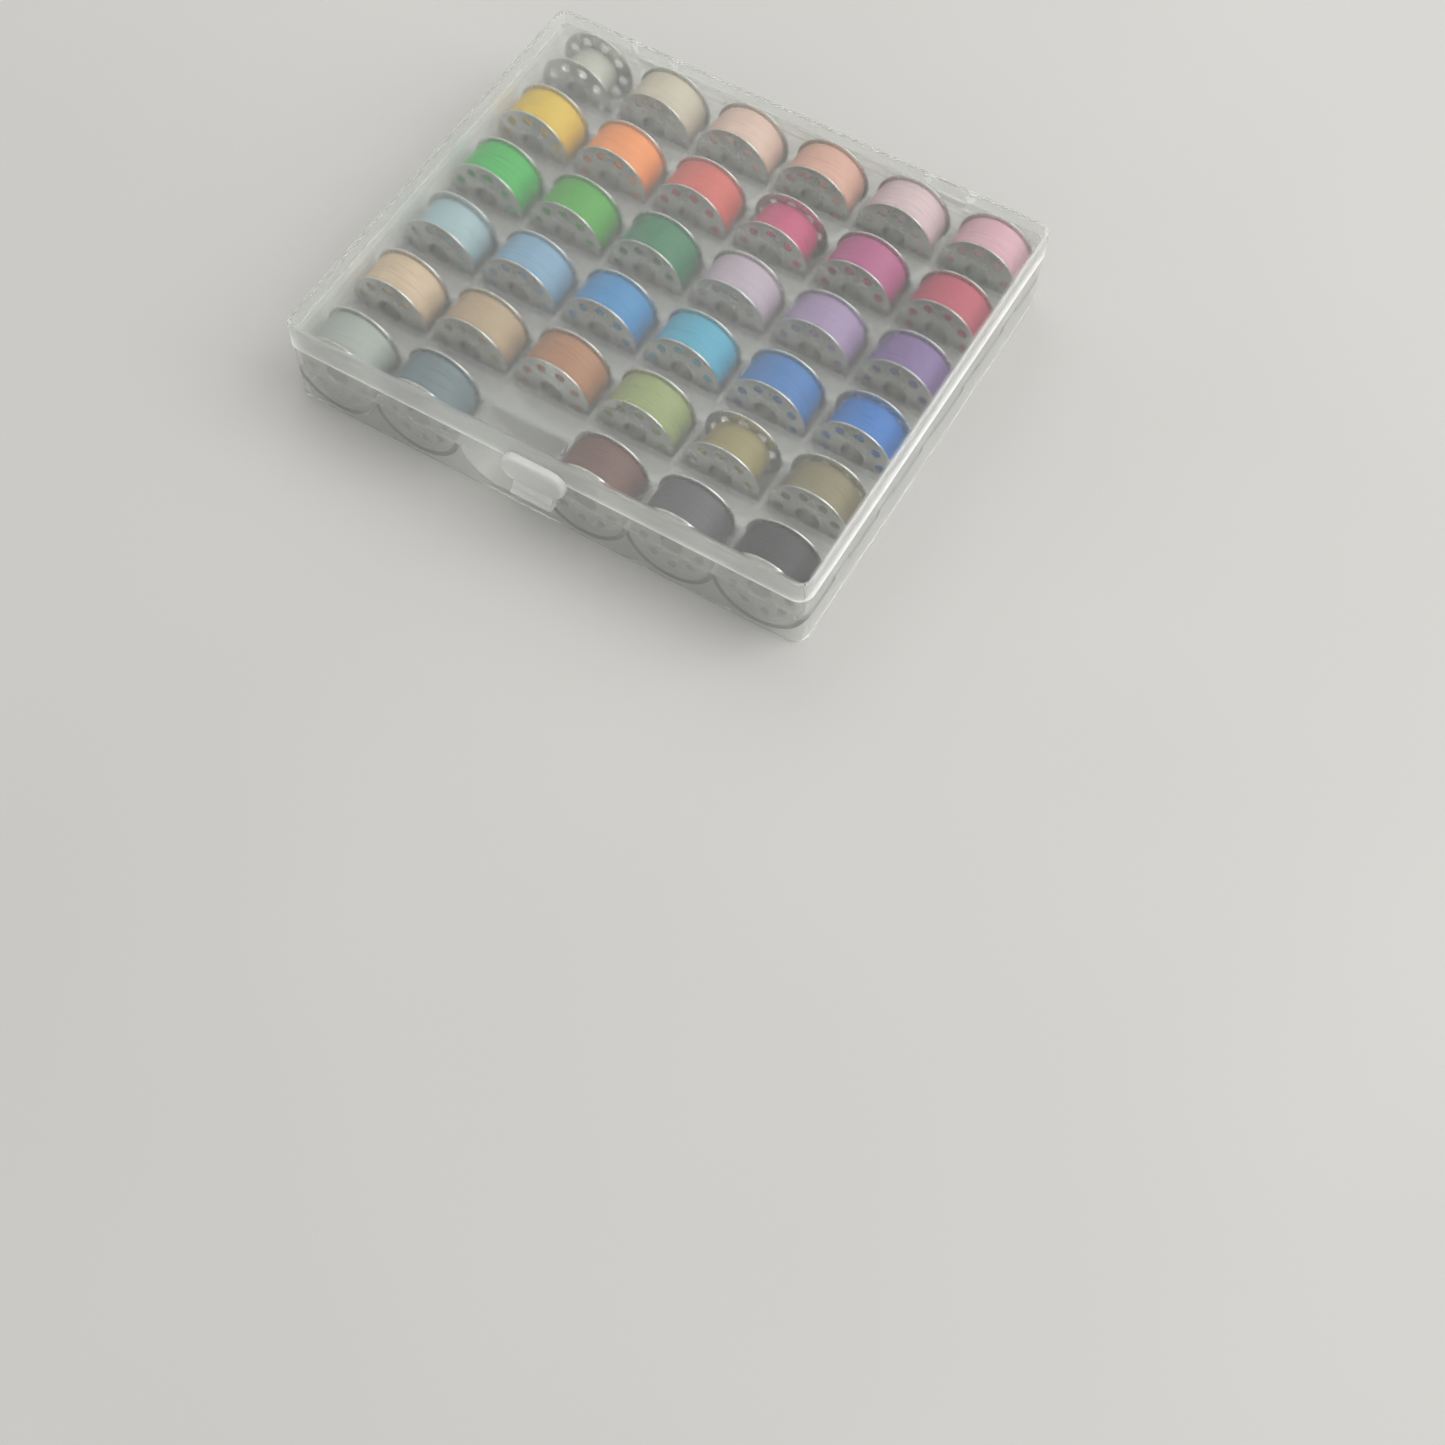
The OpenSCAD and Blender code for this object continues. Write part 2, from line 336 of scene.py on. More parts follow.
@dataclass(frozen=True)
class FrostedPlastic:
    """Milky polypropylene that light goes through. Lengths are in millimetres."""

    name: str
    milk: float
    side_milk: float
    edge_milk: float
    gloss_low: float
    gloss_high: float
    side_rough: float = 0.26
    lamp_pass: float = 0.9
    refraction: float = 1.49
    mirror_level: float = 0.5
    tint: Colour = (0.97, 0.975, 0.955)
    cloud: Colour = (0.93, 0.94, 0.92)

    # Where the outer walls stand, how deep they reach in, and where the skirt's lower edge lies
    half_width: float = 70.0
    half_depth: float = 60.0
    side_depth: float = 1.4
    side_fade: float = 0.6
    edge_z: float = 17.65
    edge_high: float = 0.45

    # Flow marks, moulded grain and scratches, in lumps to the metre
    flow_scale: Point = (12, 26, 20)
    grain_scale: float = 5200
    grain_share: float = 0.35
    scuff_scale: Point = (90, 2600, 2600)
    scuff_from: float = 0.69
    scuff_to: float = 0.76
    relief_share: float = 0.16
    relief_mm: float = 0.01

    def sideness(self, n: Nodes, axes: bpy.types.Node) -> bpy.types.NodeSocket:
        """How much a place belongs to the sides: 0 in the middle of the box, 1 in its outer walls.

        Args:
            n: The material's nodes.
            axes: The position on the piece, split into its axes.

        Returns:
            The share.
        """
        from_sides = [
            n.reckon("SUBTRACT", n.reckon("ABSOLUTE", axes.outputs[axis]), half * MM)
            for axis, half in (("X", self.half_width), ("Y", self.half_depth))
        ]
        outwards = n.reckon("MAXIMUM", *from_sides)
        return n.spread(outwards, 0, 1, -self.side_depth * MM, (self.side_fade - self.side_depth) * MM)

    def clearness(
        self, n: Nodes, axes: bpy.types.Node, sides: bpy.types.NodeSocket
    ) -> bpy.types.NodeSocket:
        """How clear the plastic is: in the middle, in the sides and at the skirt's lower edge.

        Args:
            n: The material's nodes.
            axes: The position on the piece, split into its axes.
            sides: How much the place belongs to the sides.

        Returns:
            The share of the light that goes through.
        """
        body = n.spread(sides, 1 - self.milk, 1 - self.side_milk, 0, 1)
        top_z = (self.edge_z + self.edge_high) * MM
        edge = n.spread(axes.outputs["Z"], 1 - self.edge_milk, 1.0, self.edge_z * MM, top_z)
        return n.reckon("MINIMUM", body, edge)

    def roughness(
        self, n: Nodes, flow: bpy.types.NodeSocket, sides: bpy.types.NodeSocket
    ) -> bpy.types.NodeSocket:
        """How rough the plastic is: it follows the flow marks, and the sides are rougher."""
        skin = n.spread(flow, self.gloss_high, self.gloss_low)
        return n.reckon("MAXIMUM", skin, n.spread(sides, 0, self.side_rough, 0, 1))

    def relief(self, n: Nodes, place: bpy.types.NodeSocket) -> bpy.types.NodeSocket:
        """The skin's relief: a fine moulded grain under hairline scratches.

        Args:
            n: The material's nodes.
            place: The position on the piece.

        Returns:
            The normal.
        """
        grain = n.noise(place, self.grain_scale, 2, 0.6)
        scuffs = n.noise(n.stretched(place, self.scuff_scale), 1.0, 2, 0.5)
        scratches = n.spread(scuffs, 0, 1, self.scuff_from, self.scuff_to)
        height = n.reckon("ADD", n.reckon("MULTIPLY", grain, self.grain_share), scratches)
        return n.bump(height, self.relief_share, self.relief_mm)

    def material(self) -> bpy.types.Material:
        """Builds it: cloudy flow marks, moulded grain and scratches, and a way through for the lamps.

        Returns:
            The material.
        """
        n = Nodes(self.name)
        place = n.place()
        flow = n.noise(n.stretched(place, self.flow_scale), 1.0, 4, 0.55)
        axes = n.split(place)
        sides = self.sideness(n, axes)
        body = n.principled(
            Base_Color=n.blend(n.spread(flow, 0, 1), self.cloud, self.tint),
            Roughness=self.roughness(n, flow, sides),
            IOR=self.refraction,
            Transmission_Weight=self.clearness(n, axes, sides),
            Specular_IOR_Level=self.mirror_level,
            Normal=self.relief(n, place),
        )
        for_lamps = n.add("ShaderNodeBsdfTransparent")
        for_lamps.inputs["Color"].default_value = (self.lamp_pass,) * 3 + (1,)
        mix = n.add("ShaderNodeMixShader")
        n.link(n.add("ShaderNodeLightPath").outputs["Is Shadow Ray"], mix.inputs[0])
        n.link(body.outputs["BSDF"], mix.inputs[1])
        n.link(for_lamps.outputs["BSDF"], mix.inputs[2])
        return n.finish(mix.outputs["Shader"])


@dataclass(frozen=True)
class PressedSteel:
    """Bright sheet steel with faint turning marks round the bobbin's axis."""

    name: str = "pressed_steel"
    bright: Colour = (0.66, 0.67, 0.64)
    dull: Colour = (0.58, 0.59, 0.56)
    rough_dull: float = 0.34
    rough_bright: float = 0.24
    tarnish_scale: float = 320
    ring_pitch_mm: float = 0.16
    ring_share: float = 0.1
    ring_mm: float = 0.01

    def material(self) -> bpy.types.Material:
        """Builds it: rings round the axis, a fine tarnish and fingermarks in the gloss.

        Returns:
            The material.
        """
        n = Nodes(self.name)
        place = n.place()
        from_axis = n.length(n.stretched(place, (1, 1, 0)))
        waves = FULL_TURN / (self.ring_pitch_mm * MM)
        rings = n.reckon("SINE", n.reckon("MULTIPLY", from_axis, waves))
        tarnish = n.noise(place, self.tarnish_scale, 4, 0.6)
        shader = n.principled(
            Base_Color=n.blend(n.spread(tarnish, 0, 1, 0.35, 0.65), self.dull, self.bright),
            Metallic=1.0,
            Roughness=n.spread(tarnish, self.rough_dull, self.rough_bright),
            Normal=n.bump(rings, self.ring_share, self.ring_mm),
        )
        return n.finish(shader.outputs["BSDF"])


@dataclass(frozen=True)
class SpunThread:
    """Polyester sewing thread, laid side by side round the axis."""

    shade: ThreadShade
    # Painted shade and painted light: factors for a darker and a lighter copy of the thread colour
    painted_shade: float = 0.74
    painted_light: float = 1.12
    rough: float = 0.52
    mirror_level: float = 0.35
    sheen: float = 0.12
    sheen_rough: float = 0.4

    # The twist of the plies, and the streaks that go round with the turns
    around_mm: float = 9.0
    ply_mm: float = 0.55
    ply_rise_mm: float = 0.33
    streak_scale: float = 1.3
    streaks_to_m: float = 3400.0
    twist_share: float = 0.25
    relief_share: float = 0.35
    relief_mm: float = 0.04

    def streaks(
        self, n: Nodes, turn: bpy.types.NodeSocket, height: bpy.types.NodeSocket
    ) -> bpy.types.NodeSocket:
        """Uneven streaks that follow the turns.

        Args:
            n: The material's nodes.
            turn: The angle round the axis.
            height: The height along the axis.

        Returns:
            The streaks, about 0.5 on average.
        """
        along = n.add("ShaderNodeCombineXYZ")
        n.link(turn, along.inputs["X"])
        n.link(n.reckon("MULTIPLY", height, self.streaks_to_m), along.inputs["Y"])
        return n.noise(along.outputs["Vector"], self.streak_scale, 3, 0.6)

    def twist(
        self, n: Nodes, turn: bpy.types.NodeSocket, height: bpy.types.NodeSocket
    ) -> bpy.types.NodeSocket:
        """The slanting ridges that the twisted plies make.

        Args:
            n: The material's nodes.
            turn: The angle round the axis.
            height: The height along the axis.

        Returns:
            The ridges, -1 to 1.
        """
        round_it = n.reckon("MULTIPLY", turn, FULL_TURN * self.around_mm / self.ply_mm)
        across = n.reckon("MULTIPLY", height, FULL_TURN / (self.ply_rise_mm * MM))
        return n.reckon("SINE", n.reckon("ADD", round_it, across))

    def material(self) -> bpy.types.Material:
        """Builds it: painted shade and painted light in streaks that follow the turns, the twist of the
        plies and a soft sheen.

        Returns:
            The material.
        """
        n = Nodes(f"thread_{self.shade.name.lower()}")
        axes = n.split(n.place())
        turn = n.reckon("ARCTAN2", axes.outputs["Y"], axes.outputs["X"])
        streaks = self.streaks(n, turn, axes.outputs["Z"])
        twist = n.reckon("MULTIPLY", self.twist(n, turn, axes.outputs["Z"]), self.twist_share)
        colour = self.shade.light()
        # A painted shaded copy and a painted lit copy of the thread colour, mixed along the streaks
        painted_shade = tuple(c * self.painted_shade for c in colour)
        painted_light = tuple(min(1.0, c * self.painted_light) for c in colour)
        shader = n.principled(
            Base_Color=n.blend(n.spread(streaks, 0, 1, 0.25, 0.7), painted_shade, painted_light),
            Roughness=self.rough,
            Specular_IOR_Level=self.mirror_level,
            Sheen_Weight=self.sheen,
            Sheen_Roughness=self.sheen_rough,
            Normal=n.bump(n.reckon("ADD", twist, streaks), self.relief_share, self.relief_mm),
        )
        return n.finish(shader.outputs["BSDF"])


@dataclass(frozen=True)
class TableTop:
    """The plain pale surface that the box lies on, with painted light that makes it paler far away."""

    name: str = "table_top"
    pale: Colour = linear(207, 206, 203)
    shade: Colour = linear(203, 202, 199)
    # Painted light: a paler colour far from the box, making up for the lamps' light that falls off there
    painted_far_light: Colour = linear(246, 246, 243)
    near_m: float = 0.45
    far_m: float = 1.5
    rough: float = 0.62
    mirror_level: float = 0.3
    cloud_scale: float = 6
    grain_scale: float = 900
    relief_share: float = 0.12
    relief_mm: float = 0.08

    def material(self) -> bpy.types.Material:
        """Builds it: a matt coat with a barely visible grain, and painted light that pales it far from the
        box.

        Returns:
            The material.
        """
        n = Nodes(self.name)
        place = n.place()
        cloud = n.noise(place, self.cloud_scale, 2, 0.5)
        grain = n.noise(place, self.grain_scale, 3, 0.6)
        near = n.blend(n.spread(cloud, 0, 1), self.shade, self.pale)
        # Share of the painted far light, rising with distance from the box
        painted_far_share = n.spread(n.length(place), 0, 1, self.near_m, self.far_m)
        shader = n.principled(
            Base_Color=n.blend(painted_far_share, near, self.painted_far_light),
            Roughness=self.rough,
            Specular_IOR_Level=self.mirror_level,
            Normal=n.bump(grain, self.relief_share, self.relief_mm),
        )
        return n.finish(shader.outputs["BSDF"])


def dress(piece: bpy.types.Object, material: bpy.types.Material) -> None:
    """Gives a piece one material in place of what it had."""
    piece.data.materials.clear()
    piece.data.materials.append(material)


def around(radius: float, angle: float, height: float) -> Point:
    """A point round the Z axis in metres, from a radius and a height in millimetres."""
    return radius * math.cos(angle) * MM, radius * math.sin(angle) * MM, height * MM


def join_rings(shape: bmesh.types.BMesh, rings: Rings) -> None:
    """Joins rings of points that go round an axis, the last one to the first.

    Args:
        shape: The shape that holds the points.
        rings: The rings, all with the same number of points.
    """
    count = len(rings[0])
    for ring, after in zip(rings, [*rings[1:], rings[0]]):
        for k in range(count):
            m = (k + 1) % count
            shape.faces.new((ring[k], after[k], after[m], ring[m]))


def mesh_from(name: str, shape: bmesh.types.BMesh, sharp_deg: float = 35.0) -> bpy.types.Mesh:
    """Turns a built shape into a mesh, smooth but for its sharp edges.

    Args:
        name: The mesh's name.
        shape: The shape, which is freed.
        sharp_deg: Edges that turn more than this stay sharp.

    Returns:
        The mesh.
    """
    bmesh.ops.recalc_face_normals(shape, faces=shape.faces)
    for face in shape.faces:
        face.smooth = True
    for edge in shape.edges:
        if len(edge.link_faces) == 2 and edge.calc_face_angle(0.0) > math.radians(sharp_deg):
            edge.smooth = False
    mesh = bpy.data.meshes.new(name)
    shape.to_mesh(mesh)
    shape.free()
    return mesh


def put(name: str, mesh: bpy.types.Mesh, place: Matrix, body: str) -> bpy.types.Object:
    """Puts a mesh in the scene and lets it ride on a body.

    Args:
        name: The piece's name.
        mesh: Its mesh.
        place: Where it stands, in metres.
        body: The body that carries it.

    Returns:
        The piece.
    """
    piece = bpy.data.objects.new(name, mesh)
    bpy.context.scene.collection.objects.link(piece)
    piece.matrix_world = place
    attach(piece, body)
    return piece


@dataclass
class Spool:
    """A pressed steel bobbin on its own Z axis, one for every cradle. Lengths are in millimetres."""

    flange_r: float = 10.25
    sheet: float = 0.5
    width: float = 11.2
    flare: float = 0.2
    hub_r: float = 3.6
    hub_fillet: float = 0.25
    neck: float = 0.35
    spindle_r: float = 3.05
    lip_wide: float = 0.85
    lip_high: float = 0.35
    lip_degrees: range = range(0, 160, 15)
    rim_degrees: tuple[int, ...] = (90, 55, 20, -20, -55, -90)
    holes: int = 9
    hole_r: float = 1.3
    hole_circle: float = 7.5
    hole_sides: int = 28
    punch_spare: float = 0.3
    rounds: int = 72

    def section(self) -> list[tuple[float, float]]:
        """Draws the spool's half section as one closed outline.

        Returns:
            Its points, each as radius and height in millimetres.
        """
        out = self.width / 2 - self.flare
        inn = out - self.sheet
        e = self.sheet / 2
        rim = [
            (self.flange_r - e + e * math.cos(a), out - e + e * math.sin(a))
            for a in map(math.radians, self.rim_degrees)
        ]
        lip_r = self.spindle_r + self.lip_wide / 2
        lip = [
            (lip_r - self.lip_wide / 2 * math.cos(a), self.width / 2 - self.lip_high * (1 - math.sin(a)))
            for a in map(math.radians, self.lip_degrees)
        ]
        upper = [
            *lip,
            (self.hub_r + self.neck, out),
            *rim,
            (self.hub_r + self.hub_fillet, inn),
            (self.hub_r, inn - self.hub_fillet),
        ]
        lower = [(r, -h) for r, h in reversed(upper)]
        return upper + lower

    def turned(self) -> bmesh.types.BMesh:
        """Turns the section round the axis.

        Returns:
            The spool with no holes yet.
        """
        shape = bmesh.new()
        section = self.section()
        rings = []
        for i in range(self.rounds):
            a = FULL_TURN * i / self.rounds
            rings.append([shape.verts.new(around(r, a, h)) for r, h in section])
        join_rings(shape, rings)
        return shape

    def punches(self) -> bmesh.types.BMesh:
        """Makes the plugs that are cut out of both flanges.

        Returns:
            The plugs.
        """
        shape = bmesh.new()
        middle = self.width / 2 - self.flare - self.sheet / 2
        for i in range(self.holes):
            a = FULL_TURN * i / self.holes
            for side in (-1, 1):
                at = Vector((self.hole_circle * math.cos(a), self.hole_circle * math.sin(a), side * middle))
                bmesh.ops.create_cone(
                    shape,
                    cap_ends=True,
                    segments=self.hole_sides,
                    radius1=self.hole_r * MM,
                    radius2=self.hole_r * MM,
                    depth=(self.sheet + self.punch_spare) * MM,
                    matrix=Matrix.Translation(at * MM),
                )
        return shape

    def mesh(self) -> bpy.types.Mesh:
        """Cuts the holes out of the turned spool.

        Returns:
            The pierced spool's mesh.
        """
        blank = bpy.data.objects.new("spool_blank", mesh_from("spool_blank", self.turned()))
        punch = bpy.data.objects.new("spool_punch", mesh_from("spool_punch", self.punches()))
        for piece in (blank, punch):
            bpy.context.scene.collection.objects.link(piece)
        cut = blank.modifiers.new("holes", "BOOLEAN")
        cut.operation = "DIFFERENCE"
        cut.solver = "EXACT"
        cut.object = punch
        shape = bmesh.new()
        shape.from_object(blank, bpy.context.evaluated_depsgraph_get())
        for piece in (blank, punch):
            bpy.data.objects.remove(piece)
        return mesh_from("spool", shape)


@dataclass
class Winding:
    """The thread on a bobbin, on its own Z axis: a helix of close turns, crowned in the middle.

    Lengths are in millimetres.
    """

    radius: float
    seed: int
    hub_r: float = 3.65
    half: float = 4.86
    crown: float = 0.35
    crown_wide: float = 1.4
    pitch: float = 0.36
    ridge: float = 0.035
    set_in: float = 0.05
    per_turn: int = 3
    rounds: int = 60
    loose: float = 0.03
    sway: float = 0.03
    ripple: float = 0.02

    # The turns that cross the others
    stray_count: int = 3
    stray_seed: int = 900
    stray_near: float = 0.5
    stray_far: float = 3.6
    stray_least: float = 2.2
    stray_most: float = 4.6
    stray_steps: int = 24
    stray_proud: float = 0.02
    stray_sunk: float = 0.12

    # The strands of these turns and of the loose ends
    strand_r: float = 0.1
    tail_r: float = 0.17
    strand_sides: int = 6
    sharp_deg: float = 60.0

    def surface_r(self, height: float) -> float:
        """Radius of the winding at a height, in millimetres."""
        from_flange = self.half - abs(height)
        return self.radius - self.crown * max(0.0, 1 - from_flange / self.crown_wide) ** 2

    def grid(self) -> bmesh.types.BMesh:
        """Builds the wound surface with its turns, and flat sides down to the hub.

        Returns:
            The shape.
        """
        rng = random.Random(self.seed)
        shape = bmesh.new()
        steps = round(2 * self.half / self.pitch * self.per_turn)
        loose = [rng.uniform(-self.loose, self.loose) for _ in range(steps + 2)]
        sway_from, ripple_from = (rng.uniform(0, FULL_TURN) for _ in range(2))
        rings = []
        for i in range(self.rounds):
            a = FULL_TURN * i / self.rounds
            slow = self.sway * math.sin(a + sway_from) + self.ripple * math.sin(3 * a + ripple_from)
            ring = [shape.verts.new(around(self.hub_r, a, -self.half))]
            for k in range(steps + 1):
                height = -self.half + 2 * self.half * k / steps
                phase = FULL_TURN * height / self.pitch + a
                turn = loose[k // self.per_turn]
                ridge = self.ridge * (math.cos(phase) - 1)
                out = self.surface_r(height) + ridge + turn + slow - self.set_in
                ring.append(shape.verts.new(around(out, a, height)))
            ring.append(shape.verts.new(around(self.hub_r, a, self.half)))
            rings.append(ring)
        join_rings(shape, rings)
        return shape

    def strand(self, shape: bmesh.types.BMesh, points: Sequence[Vector], radius: float) -> None:
        """Adds one round strand along some points, in millimetres.

        Args:
            shape: The shape that it is added to.
            points: The strand's middle line.
            radius: The strand's radius.
        """
        sides = range(self.strand_sides)
        angles = [FULL_TURN * k / self.strand_sides for k in sides]
        rings: Rings = []
        for i, point in enumerate(points):
            ahead = (points[min(i + 1, len(points) - 1)] - points[max(i - 1, 0)]).normalized()
            if rings:
                side = (side - ahead * side.dot(ahead)).normalized()
            else:
                side = ahead.orthogonal().normalized()
            up = ahead.cross(side)
            spokes = [side * math.cos(a) + up * math.sin(a) for a in angles]
            rings.append([shape.verts.new((point + spoke * radius) * MM) for spoke in spokes])
        for first, second in zip(rings, rings[1:]):
            for k in sides:
                m = (k + 1) % self.strand_sides
                shape.faces.new((first[k], first[m], second[m], second[k]))
        shape.faces.new(rings[0])
        shape.faces.new(list(reversed(rings[-1])))

    def stray_turns(self, shape: bmesh.types.BMesh) -> None:
        """Adds a few turns that cross the others on a slant.

        Args:
            shape: The shape that they are added to.
        """
        rng = random.Random(self.seed + self.stray_seed)
        for _ in range(self.stray_count):
            start = rng.uniform(0, FULL_TURN)
            low = rng.uniform(-self.stray_far, -self.stray_near)
            high = rng.uniform(self.stray_near, self.stray_far)
            if rng.random() < 0.5:
                low, high = high, low
            reach = rng.uniform(self.stray_least, self.stray_most)
            points = []
            for k in range(self.stray_steps + 1):
                share = k / self.stray_steps
                height = low + (high - low) * share
                bulge = math.sin(math.pi * share)
                lift = self.stray_proud * bulge - self.stray_sunk * (1 - bulge)
                out = self.surface_r(height) + lift - self.stray_sunk
                a = start + reach * share
                points.append(Vector((out * math.cos(a), out * math.sin(a), height)))
            self.strand(shape, points, self.strand_r)

    def mesh(self, name: str, tails: Sequence[Sequence[Vector]]) -> bpy.types.Mesh:
        """Builds the winding's mesh.

        Args:
            name: The mesh's name.
            tails: Loose ends, each a smooth line of points on the winding's own axes.

        Returns:
            The mesh.
        """
        shape = self.grid()
        self.stray_turns(shape)
        for tail in tails:
            self.strand(shape, tail, self.tail_r)
        return mesh_from(name, shape, self.sharp_deg)


def smooth_line(points: Sequence[Point], steps: int = 8) -> list[Vector]:
    """Runs a smooth line through a few points.

    Args:
        points: The points.
        steps: Pieces between two of them.

    Returns:
        The line's points.
    """
    knots = [Vector(p) for p in points]
    knots = [2 * knots[0] - knots[1], *knots, 2 * knots[-1] - knots[-2]]
    line = []
    for before, start, end, after in zip(knots, knots[1:], knots[2:], knots[3:]):
        for k in range(steps):
            t = k / steps
            once = (end - before) * t
            twice = (2 * before - 5 * start + 4 * end - after) * t * t
            thrice = (3 * start - before - 3 * end + after) * t**3
            line.append(0.5 * (2 * start + once + twice + thrice))
    line.append(knots[-2])
    return line


@dataclass
class BobbinGrid:
    """The wound bobbins, row by row from the hinges, left to right."""

    spool: Spool = field(default_factory=Spool)
    row_turn_deg: float = 17.0
    column_turn_deg: float = 29.0

    shades: tuple[tuple[ThreadShade | None, ...], ...] = (
        (
            ThreadShade.WHITE, ThreadShade.CREAM, ThreadShade.BLUSH,
            ThreadShade.PEACH, ThreadShade.PALE_ROSE, ThreadShade.PINK,
        ),
        (
            ThreadShade.YELLOW, ThreadShade.ORANGE, ThreadShade.CORAL,
            ThreadShade.FUCHSIA, ThreadShade.MAGENTA, ThreadShade.CRIMSON,
        ),
        (
            ThreadShade.BRIGHT_GREEN, ThreadShade.GRASS, ThreadShade.BOTTLE_GREEN,
            ThreadShade.LILAC, ThreadShade.LAVENDER, ThreadShade.VIOLET,
        ),
        (
            ThreadShade.ICE_BLUE, ThreadShade.BABY_BLUE, ThreadShade.CORNFLOWER,
            ThreadShade.SKY, ThreadShade.AZURE, ThreadShade.ROYAL,
        ),
        (
            ThreadShade.SAND, ThreadShade.TAN, ThreadShade.TERRACOTTA,
            ThreadShade.SAGE, ThreadShade.KHAKI, ThreadShade.TAUPE,
        ),
        (
            ThreadShade.FOG, ThreadShade.SLATE, None,
            ThreadShade.BROWN, ThreadShade.CHARCOAL, ThreadShade.BLACK,
        ),
    )
    part_used: dict[tuple[int, int], Fill] = field(
        default_factory=lambda: {
            (1, 1): Fill.SCRAPS,
            (2, 4): Fill.LOW,
            (4, 1): Fill.SHORT,
            (4, 6): Fill.LESS,
            (5, 5): Fill.HALF,
            (5, 6): Fill.LESS,
        }
    )

    def tails(self, row: int, column: int) -> list[list[Vector]]:
        """Finds the loose thread ends of the bobbin in a cradle.

        Args:
            row: Its row, 1 at the hinges.
            column: Its column, 1 at the left.

        Returns:
            A smooth line for each end, in millimetres on the bobbin's own axes.
        """
        if (row, column) == (5, 4):
            over_rim = [(-2.5, 8.9, 3.6), (-2.7, 9.6, 4.7), (-2.75, 10.05, 5.3), (-2.8, 9.7, 5.6)]
            down_flange = [(-3.0, 8.6, 5.62), (-3.7, 7.0, 5.62), (-4.7, 5.7, 5.62), (-5.8, 5.1, 5.62)]
            end = [(-6.8, 5.0, 5.62), (-7.7, 4.3, 5.62), (-8.5, 2.5, 5.62)]
            return [smooth_line([*over_rim, *down_flange, *end])]
        if (row, column) == (6, 4):
            long_end = [(-8.3, 3.4, 0.5), (-8.9, 3.7, 0.3), (-9.45, 4.1, -0.75), (-9.6, 4.25, -1.8)]
            short_end = [(-8.3, 3.6, 0.2), (-8.95, 3.6, 0.35), (-9.4, 3.7, 0.75), (-9.75, 3.85, 1.1)]
            return [smooth_line(long_end), smooth_line(short_end)]
        return []

    def build(self) -> None:
        """Makes a spool and a winding for every filled cradle."""
        steel = PressedSteel().material()
        spool_mesh = self.spool.mesh()
        spool_mesh.materials.append(steel)
        for row, shades in enumerate(self.shades, 1):
            for column, shade in enumerate(shades, 1):
                if shade is not None:
                    self.build_one(row, column, shade, spool_mesh)

    def build_one(self, row: int, column: int, shade: ThreadShade, spool_mesh: bpy.types.Mesh) -> None:
        """Makes one wound bobbin where its solid stands.

        Args:
            row: Its row, 1 at the hinges.
            column: Its column, 1 at the left.
            shade: Its thread.
            spool_mesh: The spool's mesh.
        """
        label = f"r{row}_c{column}"
        node, body = f"bobbin_{label}", f"bobbin_body_{label}"
        low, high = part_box(node)
        lying = Matrix.Translation((low + high) / 2) @ Matrix.Rotation(math.pi / 2, 4, "X")
        between_holes = 360.0 / self.spool.holes
        turned_deg = (row * self.row_turn_deg + column * self.column_turn_deg) % between_holes
        turned_mesh = spool_mesh.copy()
        turned_mesh.transform(Matrix.Rotation(-math.radians(turned_deg), 4, "Z"))
        spool = put(f"spool_{label}", turned_mesh, lying, body)
        winding = Winding(self.part_used.get((row, column), Fill.FULL).value, seed=row * 10 + column)
        thread_mesh = winding.mesh(f"winding_{label}", self.tails(row, column))
        thread = put(f"winding_{label}", thread_mesh, lying, body)
        dress(thread, SpunThread(shade).material())
        for piece in (spool, thread):
            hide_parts(node)
        LOG.info("bobbin %s: %s thread", label, shade.name.lower())


@dataclass
class Case:
    """The frosted case. Its three mouldings keep their shapes, and each has its own plastic."""

    tray: FrostedPlastic = FrostedPlastic(
        "tray_plastic",
        milk=0.24,
        side_milk=0.22,
        edge_milk=0.22,
        gloss_low=0.08,
        gloss_high=0.16,
        side_rough=0.22,
        lamp_pass=0.66,
    )
    lid: FrostedPlastic = FrostedPlastic(
        "lid_plastic",
        milk=0.02,
        side_milk=0.1,
        edge_milk=0.75,
        gloss_low=0.1,
        gloss_high=0.2,
        side_rough=0.45,
        lamp_pass=0.87,
    )
    latch: FrostedPlastic = FrostedPlastic(
        "latch_plastic", milk=0.3, side_milk=0.3, edge_milk=0.3, gloss_low=0.14, gloss_high=0.26
    )

    def build(self) -> None:
        """Dresses the three mouldings."""
        finishes = {"base_tray": self.tray, "lid": self.lid, "front_latch": self.latch}
        for node, finish in finishes.items():
            dress(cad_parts[node], finish.material())
            LOG.info("%s: %s", node, finish.name)


@dataclass(frozen=True)
class SoftLamp:
    """One square soft lamp. Lengths are in metres."""

    name: str
    at: Point
    aim: Point
    side: float
    watts: float

    def hang(self) -> None:
        """Hangs the lamp and points it."""
        light = bpy.data.lights.new(self.name, "AREA")
        light.shape = "SQUARE"
        light.size = self.side
        light.energy = self.watts
        lamp = bpy.data.objects.new(self.name, light)
        lamp.location = self.at
        lamp.rotation_euler = (Vector(self.aim) - Vector(self.at)).to_track_quat("-Z", "Y").to_euler()
        bpy.context.scene.collection.objects.link(lamp)


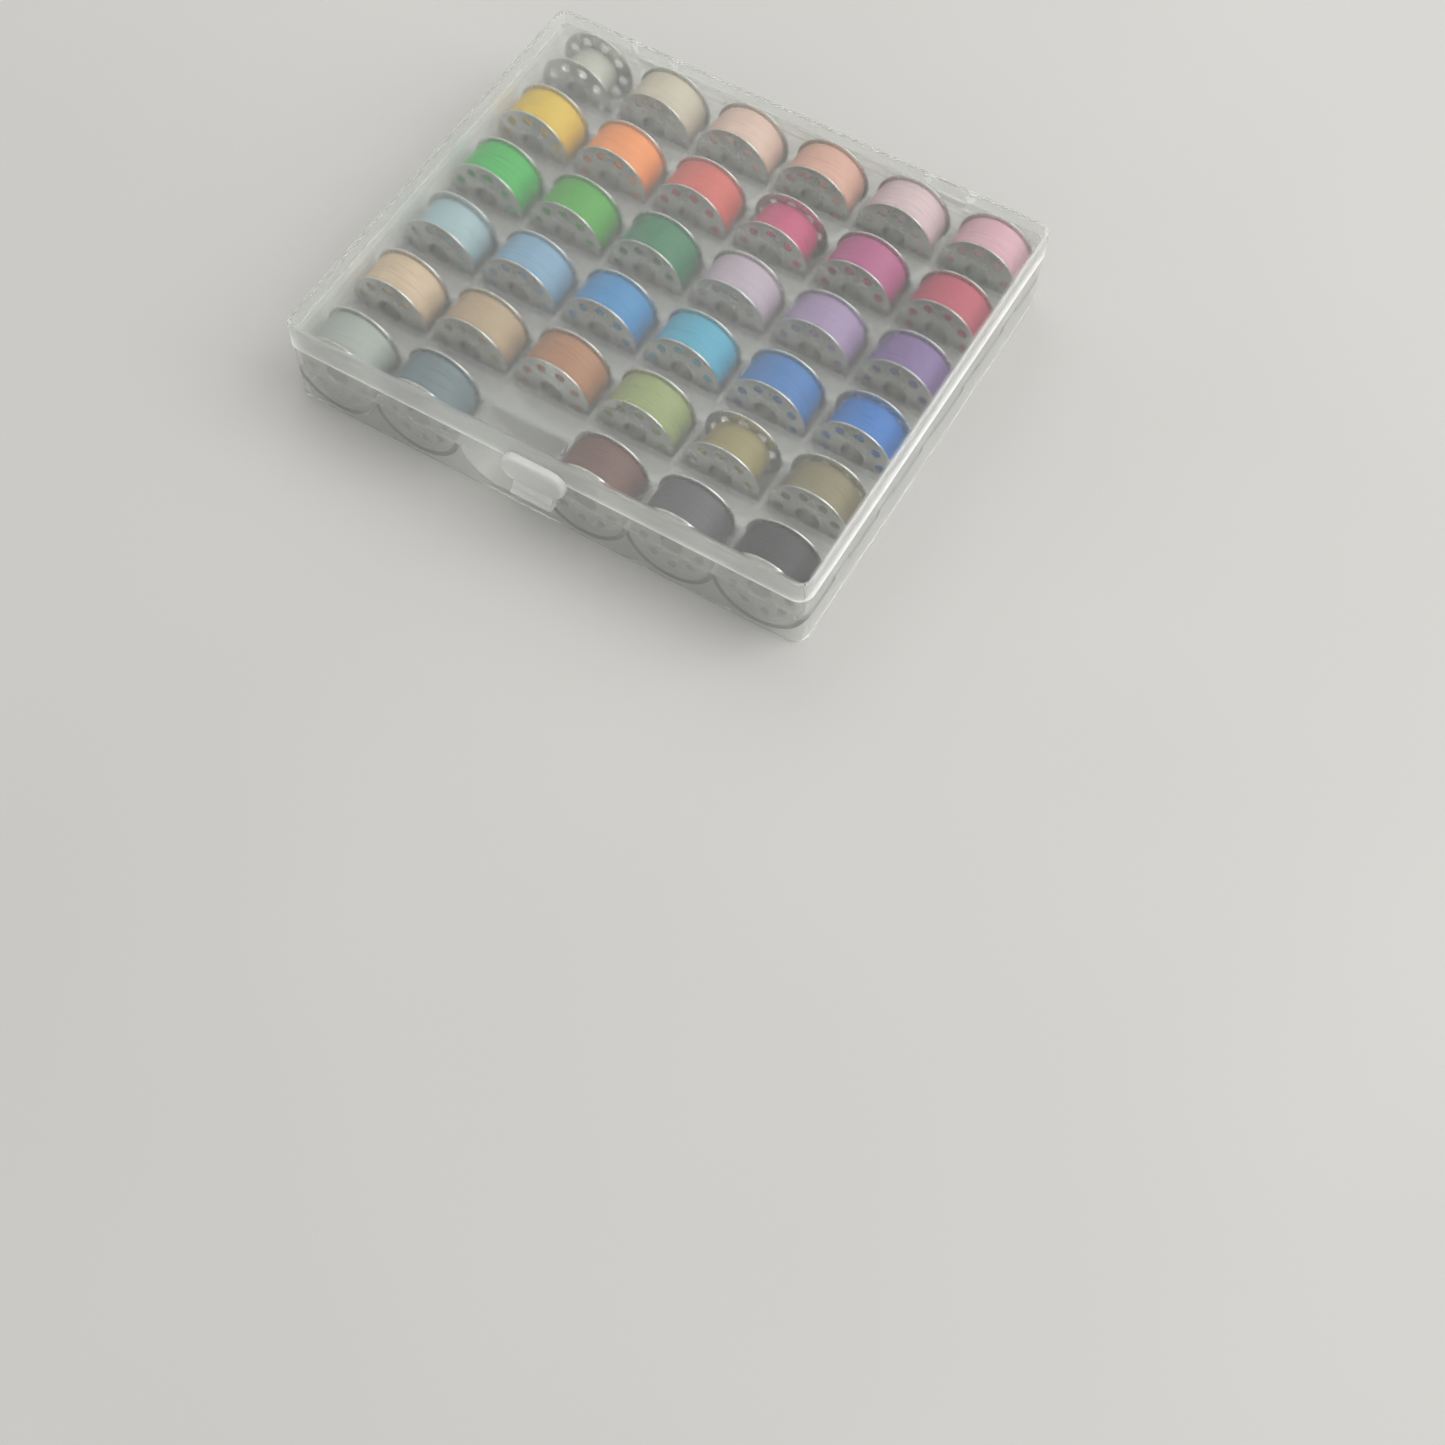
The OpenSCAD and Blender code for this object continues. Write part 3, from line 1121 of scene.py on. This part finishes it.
@dataclass
class Studio:
    """The table, the lamps and the camera. Lengths are in metres."""

    table_half: float = 3.0
    table_drop: float = 0.05 * MM
    room_light: Colour = (1.0, 1.0, 0.98)
    room_strength: float = 0.56
    lamps: tuple[SoftLamp, ...] = (
        SoftLamp("window", (0.84, 0.44, 0.86), (0, 0, 0), 1.1, 9.7),
        SoftLamp("fill", (0.45, -0.95, 0.5), (0, 0, 0.01), 0.8, 1.4),
        SoftLamp("haze", (-0.09, 0.5, 0.55), (0.05, 0.04, 0.02), 0.6, 0.4),
        SoftLamp("veil", (-0.51, 0.31, 0.62), (-0.03, 0, 0.02), 0.7, 0.85),
    )
    camera_at: Point = (0.17511, -0.2871, 0.4199)
    camera_turn_deg: tuple[float, float, float] = (28.712, -1.004, 30.634)
    camera_near: float = 0.01
    lens_mm: float = 53.94
    film_mm: float = 36

    def table(self) -> None:
        """Lays the pale table under the box."""
        shape = bmesh.new()
        bmesh.ops.create_grid(shape, x_segments=1, y_segments=1, size=self.table_half)
        top = bpy.data.objects.new("table_top", mesh_from("table_top", shape))
        top.location.z = -self.table_drop
        bpy.context.scene.collection.objects.link(top)
        dress(top, TableTop().material())

    def room(self) -> None:
        """Fills the room with plain white light."""
        world = bpy.data.worlds.new("room")
        world.use_nodes = True
        back = world.node_tree.nodes["Background"]
        back.inputs["Color"].default_value = (*self.room_light, 1)
        back.inputs["Strength"].default_value = self.room_strength
        bpy.context.scene.world = world

    def camera(self) -> None:
        """Sets up the camera."""
        data = bpy.data.cameras.new("camera")
        data.lens = self.lens_mm
        data.sensor_width = self.film_mm
        data.clip_start = self.camera_near
        camera = bpy.data.objects.new("camera", data)
        camera.location = self.camera_at
        camera.rotation_euler = Euler([math.radians(a) for a in self.camera_turn_deg], "XYZ")
        bpy.context.scene.collection.objects.link(camera)
        bpy.context.scene.camera = camera

    def build(self) -> None:
        """Sets the whole studio up."""
        self.table()
        self.room()
        for lamp in self.lamps:
            lamp.hang()
        self.camera()
        bpy.context.scene.view_settings.view_transform = "Standard"


def main() -> None:
    """Dresses the box and lights it."""
    logging.basicConfig(level=logging.INFO, format="%(message)s")
    Studio().build()
    Case().build()
    BobbinGrid().build()


if __name__ == "__main__":
    main()
